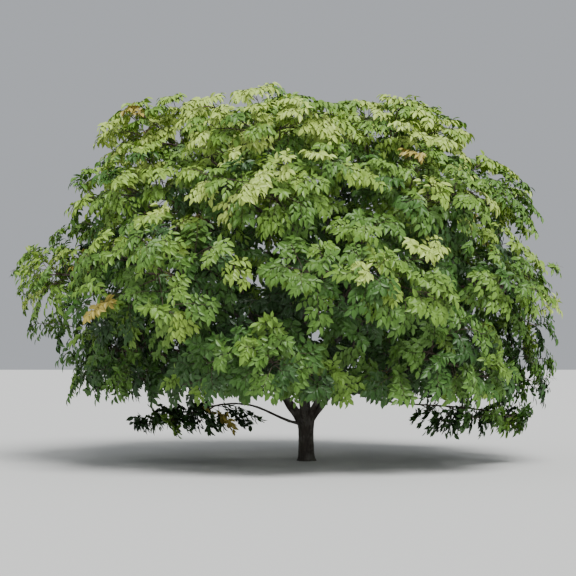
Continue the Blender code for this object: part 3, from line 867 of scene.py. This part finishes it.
def bark_finish():
    """Dark grey bark with paler patches, streaked along the trunk."""
    settings = {"Roughness": BARK_ROUGHNESS, "Specular IOR Level": BARK_GLOSS}
    material, shader, wire = new_finish("bark_finish", settings)

    def blotches(where, scale, detail):
        """A noise of soft blotches."""
        sockets = {"Vector": where, "Scale": scale, "Detail": detail}
        return wire.node("ShaderNodeTexNoise", {}, sockets, "Fac")

    def mixed(share, one, other):
        """One colour turning to the other. A Mix node has its colours at inputs 6 and 7, output 2."""
        return wire.node("ShaderNodeMix", {"data_type": "RGBA"}, {0: share, 6: one, 7: other}, 2)

    place = wire.node("ShaderNodeTexCoord", {}, {}, "Object")
    drawn = wire.node("ShaderNodeVectorMath", {"operation": "MULTIPLY"}, {0: place, 1: GRAIN})
    streaks = blotches(drawn, STREAK_SCALE, STREAK_DETAIL)
    patches = blotches(place, PATCH_SCALE, PATCH_DETAIL)
    pale = wire.node(
        "ShaderNodeMapRange", {"clamp": True},
        {"Value": patches + streaks * STREAKS_IN_PATCHES, "From Min": PALE_FROM, "From Max": PALE_TO},
    )
    colour = mixed(pale * PALE_STRENGTH, mixed(streaks, BARK_DARK, BARK_WORN), BARK_PALE)
    height = streaks + patches * PATCHES_IN_BUMP
    bump = wire.node(
        "ShaderNodeBump", {}, {"Strength": BUMP_STRENGTH, "Distance": BUMP_DEPTH, "Height": height}
    )
    material.node_tree.links.new(colour.socket, shader.inputs["Base Color"])
    material.node_tree.links.new(bump.socket, shader.inputs["Normal"])
    return material


def twig_finish():
    """Young red-brown bark."""
    return new_finish("twig_finish", {"Base Color": TWIG_COLOUR, "Roughness": TWIG_ROUGHNESS})[0]


bark = bark_finish()
twig_bark = twig_finish()
print("Finishes:", bark.name, twig_bark.name)

# %% [markdown]
# The trunk is the one piece that is seen bare. It is lofted from rings with rounded flutes, then
# the limbs' flared feet are added and the whole is remeshed into voxels, which melts the joins
# as living wood does. Shallow ridges that run up the wood come last, moved along the normals.

# %% Trunk and fork
TRUNK_SIDES = 64
TRUNK_RINGS = 48
# Roots begin to part at the ground: how many, how far out, how fast they fade with height
ROOT_RIDGES = 6
ROOT_SPREAD = 0.10
ROOT_FADE = 11
ROOT_TURN = 0.8
ROOT_HOLLOW = 0.6
# The feet of the limbs, with their girth at each end as a share of the limb's own
FOOT_LENGTH = 0.42
FOOT_STEPS = 12
FOOT_SIDES = 14
FOOT_FLARE = 1.65
FOOT_END = 0.80
FLARE_POWER = 1.6
FEWEST_STEPS = 6
SMOOTHINGS = 3
# The remesh, and the depth and closeness of the ridges and ripples, round and along the wood
VOXEL = 0.0065
SOFTNESS = 0.5
SOFTENINGS = 5
RIDGE = 0.0065
RIDGES_ROUND = 17
RIDGES_ALONG = 2.6
RIPPLE = 0.0016
RIPPLES_ROUND = 70
RIPPLES_ALONG = 22
# Points this near the ground don't sink below it, and the nearest are set on it
GROUND_BAND = 0.004
GROUND_TOUCH = 0.001


def trunk_arrays():
    """The fluted trunk as a closed loft, with roots that begin to part near the ground."""
    shares = np.array([share for share, _ in TRUNK_PROFILE])
    girths = np.array([girth for _, girth in TRUNK_PROFILE])
    share = np.linspace(0, 1, TRUNK_RINGS)
    girth = np.interp(share, shares, girths)
    turn = 2 * np.pi * np.arange(TRUNK_SIDES) / TRUNK_SIDES
    flute = 1 + sum(deep * np.cos(count * turn + phase) for count, deep, phase in FLUTES)
    parting = (np.cos(ROOT_RIDGES * turn + ROOT_TURN) - ROOT_HOLLOW)[None]
    root = 1 + ROOT_SPREAD * np.exp(-share * ROOT_FADE)[:, None] * parting
    radius = TRUNK_RADIUS * girth[:, None] * flute[None] * root
    middle = np.array([trunk_axis(TRUNK_HEIGHT * part) for part in share])
    out = np.stack([np.cos(turn), np.sin(turn), np.zeros(TRUNK_SIDES)], axis=-1)
    points = middle[:, None] + out[None] * radius[:, :, None]
    ring = np.arange(TRUNK_SIDES)
    after = (ring + 1) % TRUNK_SIDES
    rows = (np.arange(TRUNK_RINGS - 1) * TRUNK_SIDES)[:, None]
    upper = rows + TRUNK_SIDES
    quads = np.stack([rows + ring, rows + after, upper + after, upper + ring], axis=-1)
    top = ring + (TRUNK_RINGS - 1) * TRUNK_SIDES
    return points.reshape(-1, 3), [quads.reshape(-1, 4), ring[::-1][None], top[None]]


def resampled(limb, step):
    """A limb's line and girth, smoothed and cut into short even steps."""
    line = np.array([tuple(point) for point in limb.points])
    knots = np.linspace(0, 1, len(line))
    length = np.linalg.norm(np.diff(line, axis=0), axis=1).sum()
    count = max(FEWEST_STEPS, int(length / step))
    t = np.linspace(0, 1, count + 1)
    smooth = np.stack([np.interp(t, knots, line[:, axis]) for axis in range(3)], axis=1)
    for _ in range(SMOOTHINGS):
        smooth[1:-1] = (smooth[:-2] + smooth[1:-1] * 2 + smooth[2:]) / 4
    return smooth, np.interp(t, knots, np.array(limb.radii))


def foot_arrays(limb):
    """The flared first stretch of a limb, which ends just inside the limb itself."""
    line, girth = resampled(limb, FOOT_LENGTH / FOOT_STEPS)
    line, girth = line[:FOOT_STEPS + 1], girth[:FOOT_STEPS + 1]
    fading = (1 - np.linspace(0, 1, len(line))) ** FLARE_POWER
    return one_tube(line, girth * (FOOT_END + (FOOT_FLARE - FOOT_END) * fading), FOOT_SIDES)


def relief(mesh, deep, fine):
    """Moves a mesh's points along their normals, in ridges that run up the wood and fine ripples."""
    for corner in mesh.vertices:
        x, y, z = corner.co
        wide = noise.noise(Vector((x * RIDGES_ROUND, y * RIDGES_ROUND, z * RIDGES_ALONG)))
        tight = noise.noise(Vector((x * RIPPLES_ROUND, y * RIPPLES_ROUND, z * RIPPLES_ALONG)))
        corner.co += corner.normal * (deep * wide + fine * tight)
        if z < GROUND_BAND:
            corner.co.z = max(corner.co.z, 0.0) if z > GROUND_TOUCH else 0.0


def melted(piece, voxel):
    """The piece's mesh, remeshed into one smooth skin."""
    remesh = piece.modifiers.new("Melt", "REMESH")
    remesh.mode = "VOXEL"
    remesh.voxel_size = voxel
    soften = piece.modifiers.new("Soften", "SMOOTH")
    soften.factor = SOFTNESS
    soften.iterations = SOFTENINGS
    graph = bpy.context.evaluated_depsgraph_get()
    mesh = bpy.data.meshes.new_from_object(piece.evaluated_get(graph))
    piece.modifiers.clear()
    piece.data = mesh
    return mesh


from_trunk = [limb for limb in limbs.values() if limb.parent == "trunk"]
arrays = joined([trunk_arrays()] + [foot_arrays(limb) for limb in from_trunk])
trunk_piece = mesh_piece("trunk_and_fork", *arrays, bark)
trunk_mesh = melted(trunk_piece, VOXEL)
relief(trunk_mesh, RIDGE, RIPPLE)
trunk_mesh.shade_smooth()
print("Trunk and fork:", len(trunk_mesh.polygons), "faces")

# %% [markdown]
# The limbs above the fork are long tubes with many short steps, so that they can carry the same
# ridges, a little shallower. Each starts inside its parent, and where a lateral leaves another
# limb it has a slightly swollen collar.

# %% Boughs
BOUGH_SIDES = 10
BOUGH_STEP = 0.045
BOUGH_RIDGE = RIDGE * 0.6
COLLAR = 0.35
COLLAR_LENGTH = 0.10


def bough_arrays(limb):
    """A limb as a tube, with its collar."""
    line, girth = resampled(limb, BOUGH_STEP)
    run = np.arange(len(line)) * BOUGH_STEP
    collar = 0 if limb.parent == "trunk" else COLLAR
    return one_tube(line, girth * (1 + collar * np.exp(-run / COLLAR_LENGTH)), BOUGH_SIDES)


boughs = mesh_piece("boughs", *joined([bough_arrays(limb) for limb in limbs.values()]), bark)
relief(boughs.data, BOUGH_RIDGE, RIPPLE)
boughs.data.shade_smooth()
print("Boughs:", len(boughs.data.polygons), "faces")

# %% [markdown]
# Stems and twigs go on from the boughs as finer tubes of young bark. The thinnest shoots need no
# more than three sides: they are a few millimetres thick and mostly behind leaves.

# %% Twigs and shoots
STEM_SIDES = 7
STEM_STEP = 0.06
TWIG_SIDES = 5
TWIG_POINTS = 6
TWIG_ARCH = 0.05
TWIG_RADII = (0.0085, 0.0040)
BRANCHLET_SIDES = 4
BRANCHLET_RADII = (0.0048, 0.0016)
SHOOT_SIDES = 3
SHOOT_RADII = (0.0020, 0.0010)


def twig_line(start, end):
    """A twig that arches up a little between its joint and its place."""
    t = np.linspace(0, 1, TWIG_POINTS)[:, None]
    line = np.array(start) * (1 - t) + np.array(end) * t
    line[:, 2] += TWIG_ARCH * np.sin(np.pi * t[:, 0]) * np.linalg.norm(line[-1] - line[0])
    return line


def tapered_tubes(lines, radii, sides):
    """Tubes along many lines, each from one radius to the other."""
    girths = np.tile(np.linspace(*radii, lines.shape[1]), (len(lines), 1))
    return tube_arrays(lines, girths, sides)


stem_parts = [one_tube(*resampled(stem, STEM_STEP), STEM_SIDES) for stem in stems.values()]
twig_lines = np.array([twig_line(*twig) for found in twigs.values() for twig in found])
stem_parts.append(tapered_tubes(twig_lines, TWIG_RADII, TWIG_SIDES))
twig_piece = mesh_piece("stems_and_twigs", *joined(stem_parts), twig_bark, smooth=True)
tubes = tapered_tubes(spray_lines, BRANCHLET_RADII, BRANCHLET_SIDES)
branchlet_piece = mesh_piece("branchlets", *tubes, twig_bark, smooth=True)
tubes = tapered_tubes(shoot_lines, SHOOT_RADII, SHOOT_SIDES)
shoot_piece = mesh_piece("shoots", *tubes, twig_bark, smooth=True)
print("Wood:", [len(piece.data.polygons) for piece in (twig_piece, branchlet_piece, shoot_piece)], "faces")

# %% [markdown]
# The crown isn't one green. Sprays at the top and the outside are yellow-green where the sun has
# reached them all summer, those within and below are deep green, and here and there a spray has
# begun to turn. So each spray gets one plain colour from a short palette, by how exposed it is
# and a little chance, and the leaves of one colour make one mesh. The palette is partly those
# real greens and partly painted light and shade: its darkest greens are painted shade for the
# crown's inside and underside, and its palest are painted light on the top and the outside.

# %% Leaf colours
# From the deepest painted shade within to the palest painted light on the top's outside
LIT_AND_SHADED_GREENS = (
    ("leaves_shade", (0.015, 0.048, 0.008)),
    ("leaves_deep", (0.027, 0.080, 0.012)),
    ("leaves_green", (0.048, 0.127, 0.017)),
    ("leaves_mid", (0.085, 0.185, 0.024)),
    ("leaves_bright", (0.142, 0.265, 0.033)),
    ("leaves_sunlit", (0.235, 0.370, 0.050)),
    ("leaves_new", (0.390, 0.515, 0.100)),
)
TURNING = (
    ("leaves_yellow", (0.380, 0.310, 0.060)),
    ("leaves_russet", (0.270, 0.085, 0.025)),
)
YELLOW_SHARE = 0.006
RUSSET_SHARE = 0.001
CHANCE = 0.17
# What height and outwardness add to a spray's light
HEIGHT_LIGHT = 0.56
OUTER_LIGHT = 0.38
MOST_OUTSIDE = 1.1
LEAF_ROUGHNESS = 0.48
LEAF_GLOSS = 0.42


def exposure(lines):
    """How much light each spray sees, from 0 within and below to about 1 at the top's outside."""
    ends = lines[:, -1]
    offset = (ends - np.array(CROWN_CENTRE)) / np.array(CROWN_AXES)
    outside = np.clip(np.linalg.norm(offset, axis=1), 0, MOST_OUTSIDE)
    height = np.clip((ends[:, 2] - UNDERSIDE) / (cad_high[2] - UNDERSIDE), 0, 1)
    return HEIGHT_LIGHT * height + OUTER_LIGHT * outside**2


def leaf_finish(name, colour):
    """A plain, slightly glossy leaf colour."""
    settings = {
        "Base Color": (*colour, 1.0), "Roughness": LEAF_ROUGHNESS, "Specular IOR Level": LEAF_GLOSS,
    }
    return new_finish(name + "_finish", settings)[0]


def leaf_faces(count):
    """The triangles and quads of a count of blades, whose corners follow on from each other."""
    first = (np.arange(count) * len(LEAF_CORNERS))[:, None, None]
    return [(first + LEAF_TRIANGLES[None]).reshape(-1, 3), (first + LEAF_QUADS[None]).reshape(-1, 4)]


# Each spray's green follows its exposure: painted shade within and below, painted light at the top and
# outside
lit = exposure(spray_lines) + rng.normal(0, CHANCE, len(spray_lines))
rank = np.clip((lit * len(LIT_AND_SHADED_GREENS)).astype(int), 0, len(LIT_AND_SHADED_GREENS) - 1)
luck = rng.uniform(0, 1, len(spray_lines))
rank[luck < YELLOW_SHARE] = len(LIT_AND_SHADED_GREENS)
rank[luck > 1 - RUSSET_SHARE] = len(LIT_AND_SHADED_GREENS) + 1
leaf_pieces = []
for k, (name, colour) in enumerate(LIT_AND_SHADED_GREENS + TURNING):
    blades = corners[rank[leaf_owner] == k]
    finish = leaf_finish(name, colour)
    leaf_pieces.append(mesh_piece(name, blades.reshape(-1, 3), leaf_faces(len(blades)), finish))
    print(name, len(blades), "leaves")

# %% [markdown]
# Each piece is now attached to the tree's one body. The plain solids in the places of the trunk,
# the boughs and the foliage are hidden, but go on carrying the tree's weight.

# %% Places in the frame
masses = [name for name in frame["nodes"] if name.startswith("foliage_")]
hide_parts("trunk")
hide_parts(*[limb.name for limb in limbs.values()])
for piece in [twig_piece, branchlet_piece, shoot_piece] + leaf_pieces:
    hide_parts(*masses)
for piece in tree.objects:
    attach(piece, "root")

# %% [markdown]
# The studio is plain: a pale floor, one broad soft light from above, like a bright overcast sky,
# and a pale sky all round, which is the backdrop and a weak fill. So the crown's inside falls
# dark and its top glows.

# %% Floor and light
FLOOR_SIZE = 60.0
FLOOR_COLOUR = (0.60, 0.60, 0.58, 1.0)
FLOOR_ROUGHNESS = 0.9
SKY_COLOUR = (0.90, 0.94, 1.0, 1.0)
SKY_STRENGTH = 0.50
# The soft light: strength, width in degrees, and turn from straight down about X, Y and Z
SUN_STRENGTH = 5.0
SUN_WIDTH = 34
SUN_TURN = (30, 14, 0)


def floor():
    """A plain pale floor at ground level."""
    mesh = bpy.data.meshes.new("floor")
    form = bmesh.new()
    bmesh.ops.create_grid(form, x_segments=1, y_segments=1, size=FLOOR_SIZE)
    form.to_mesh(mesh)
    form.free()
    ground = bpy.data.objects.new("floor", mesh)
    settings = {"Base Color": FLOOR_COLOUR, "Roughness": FLOOR_ROUGHNESS}
    mesh.materials.append(new_finish("floor_finish", settings)[0])
    bpy.context.scene.collection.objects.link(ground)
    return ground


def sun(name, strength, width, turn):
    """A soft far light, turned from straight down by degrees about X, Y and Z."""
    lamp = bpy.data.lights.new(name, "SUN")
    lamp.energy = strength
    lamp.angle = math.radians(width)
    thing = bpy.data.objects.new(name, lamp)
    thing.rotation_euler = [math.radians(part) for part in turn]
    bpy.context.scene.collection.objects.link(thing)


def sky(colour, strength):
    """The same light from all round."""
    world = bpy.data.worlds.new("soft_sky")
    world.use_nodes = True
    background = world.node_tree.nodes["Background"]
    background.inputs["Color"].default_value = colour
    background.inputs["Strength"].default_value = strength
    bpy.context.scene.world = world


floor()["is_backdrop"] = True
sky(SKY_COLOUR, SKY_STRENGTH)
sun("overcast", SUN_STRENGTH, SUN_WIDTH, SUN_TURN)
print("Soft light from above")

# %% [markdown]
# The camera stands where the photographer stood: at eye height, about 22 m away, with a long
# lens, looking up by less than two degrees.

# %% Camera
EYE = (-0.234, -21.7, 1.6)
LOOK_UP = 1.68
LENS = 104.5
SENSOR_WIDTH = 36.0
camera = bpy.data.objects.new("camera", bpy.data.cameras.new("camera"))
camera.data.lens = LENS
camera.data.sensor_width = SENSOR_WIDTH
camera.location = EYE
camera.rotation_euler = (math.radians(90 + LOOK_UP), 0.0, 0.0)
bpy.context.scene.collection.objects.link(camera)
bpy.context.scene.camera = camera
print("Camera at", tuple(camera.location))

# %% [markdown]
# Last come the sizes.

# %% Finish
bpy.context.view_layer.update()
low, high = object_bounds()
print("The dressed tree reaches from", np.round(list(low), 2), "to", np.round(list(high), 2))
